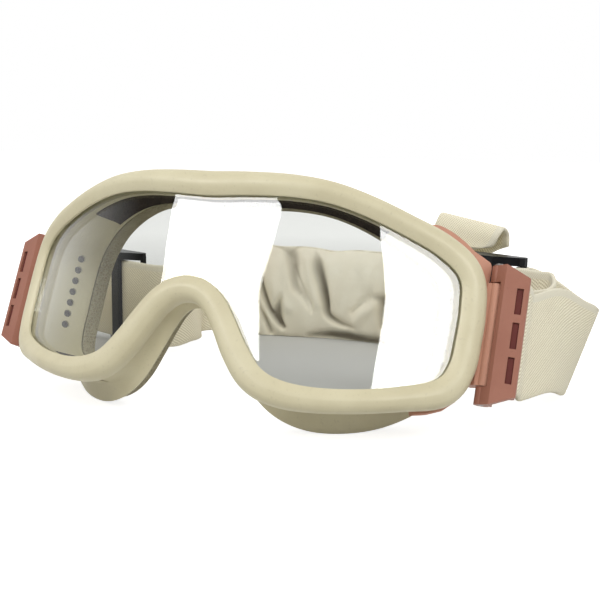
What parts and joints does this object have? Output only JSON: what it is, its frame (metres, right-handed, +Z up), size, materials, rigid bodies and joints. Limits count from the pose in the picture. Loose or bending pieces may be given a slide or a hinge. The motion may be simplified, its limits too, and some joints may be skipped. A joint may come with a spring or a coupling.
{
  "type": "goggles",
  "caption": "Wrap-round protective goggles: moulded frame, single clear lens, swinging strap brackets, wide elastic strap with slide adjusters and a bunched fabric lens cover.",
  "frame": {"origin": "the point on the ground straight below the middle of the lens opening, on the front of the lens", "axes": "+X to the right as seen from in front, +Y from the front of the lens towards the back of the strap, +Z up; the goggles lean back 24 degrees as they stand"},
  "size_m": [0.252, 0.1851, 0.0878],
  "materials": {
    "frame_rubber": "satin soft moulding",
    "clear_lens": "clear polished",
    "face_foam": "open foam",
    "vent_foam": "open foam",
    "bracket_plastic": "satin",
    "pin_steel": "satin",
    "webbing": "woven elastic",
    "slider_plastic": "glossy",
    "cover_fabric": "smooth knit"
  },
  "bodies": {
    "goggles": {"frame": "frame_rubber", "lens": "clear_lens", "face_foam": "face_foam", "vent_foam_top": "vent_foam", "vent_foam_bottom_left": "vent_foam", "vent_foam_bottom_right": "vent_foam", "vent_foam_side_left": "vent_foam", "vent_foam_side_right": "vent_foam", "outrigger_clip_left": "bracket_plastic", "outrigger_clip_right": "bracket_plastic", "hinge_pin_left": "pin_steel", "hinge_pin_right": "pin_steel", "strap_side_left": "webbing", "strap_side_right": "webbing", "strap_end_left": "webbing", "strap_end_right": "webbing", "strap_back": "webbing", "lens_cover": "cover_fabric"},
    "outrigger_left": {"outrigger_left": "bracket_plastic", "strap_wrap_left": "webbing"},
    "outrigger_right": {"outrigger_right": "bracket_plastic", "strap_wrap_right": "webbing"},
    "slider_left": {"slider_left": "slider_plastic", "strap_loop_left": "webbing"},
    "slider_right": {"slider_right": "slider_plastic", "strap_loop_right": "webbing"}
  },
  "joints": [
    {"name": "outrigger_right_hinge", "type": "hinge", "parent": "goggles", "child": "outrigger_right", "pos_m": [0.0955, 0.03641, 0.03446], "axis": [0, 0.4067, 0.9135], "range_deg": [-10, 50], "deforming": ["strap_side_right"]},
    {"name": "outrigger_left_hinge", "type": "hinge", "parent": "goggles", "child": "outrigger_left", "pos_m": [-0.0955, 0.03641, 0.03446], "axis": [0, -0.4067, -0.9135], "range_deg": [-10, 50], "deforming": ["strap_side_left"]},
    {"name": "slider_right_slide", "type": "slide", "parent": "goggles", "child": "slider_right", "axis": [-0.891, 0.454, 0], "range_m": [-0.006, 0.006], "deforming": ["strap_end_right"]},
    {"name": "slider_left_slide", "type": "slide", "parent": "goggles", "child": "slider_left", "axis": [0.9336, -0.3584, 0], "range_m": [-0.006, 0.006], "deforming": ["strap_end_left"]}
  ]
}
